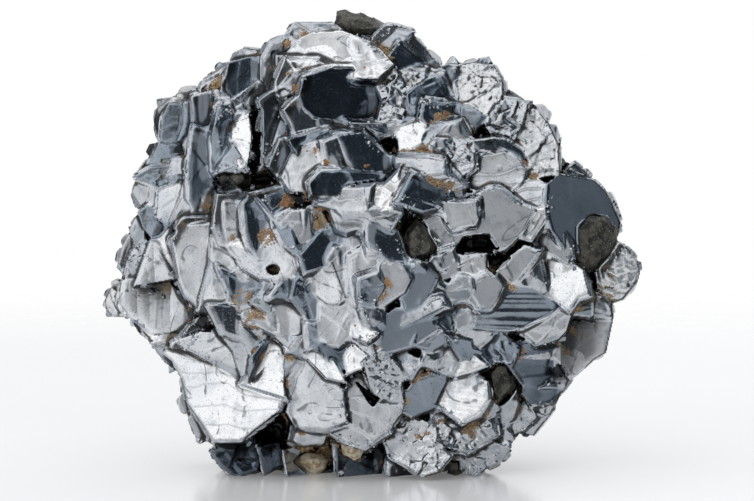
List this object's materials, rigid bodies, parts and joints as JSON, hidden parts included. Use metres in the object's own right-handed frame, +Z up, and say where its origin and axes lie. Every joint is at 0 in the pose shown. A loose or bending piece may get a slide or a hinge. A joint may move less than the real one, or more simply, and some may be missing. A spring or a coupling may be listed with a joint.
{
  "type": "mineral specimen",
  "caption": "Standing cluster of intergrown metallic grey crystals with stepped faces, small dull brown and cream crystals set in it, and a flat base.",
  "frame": {"origin": "on the flat base on which the cluster stands, below the middle of its display side", "axes": "+Z up, +X to the right across the display side, -Y out of the display side towards a viewer"},
  "size_m": [0.1075, 0.0593, 0.0922],
  "materials": {
    "magnetite": "bright metallic crystal faces with growth steps",
    "dull_mineral": "dull grainy brown-grey mineral",
    "cream_quartz": "cloudy cream quartz"
  },
  "bodies": {
    "root": {"magnetite_cluster": "magnetite", "dull_crystal_crown": "dull_mineral", "dull_crystal_left": "dull_mineral", "dull_crystal_centre": "dull_mineral", "dull_crystal_right": "dull_mineral", "dull_crystal_lower_right": "dull_mineral", "dull_crystal_foot": "dull_mineral", "quartz_crystal_left": "cream_quartz", "quartz_crystal_right": "cream_quartz"}
  },
  "joints": []
}
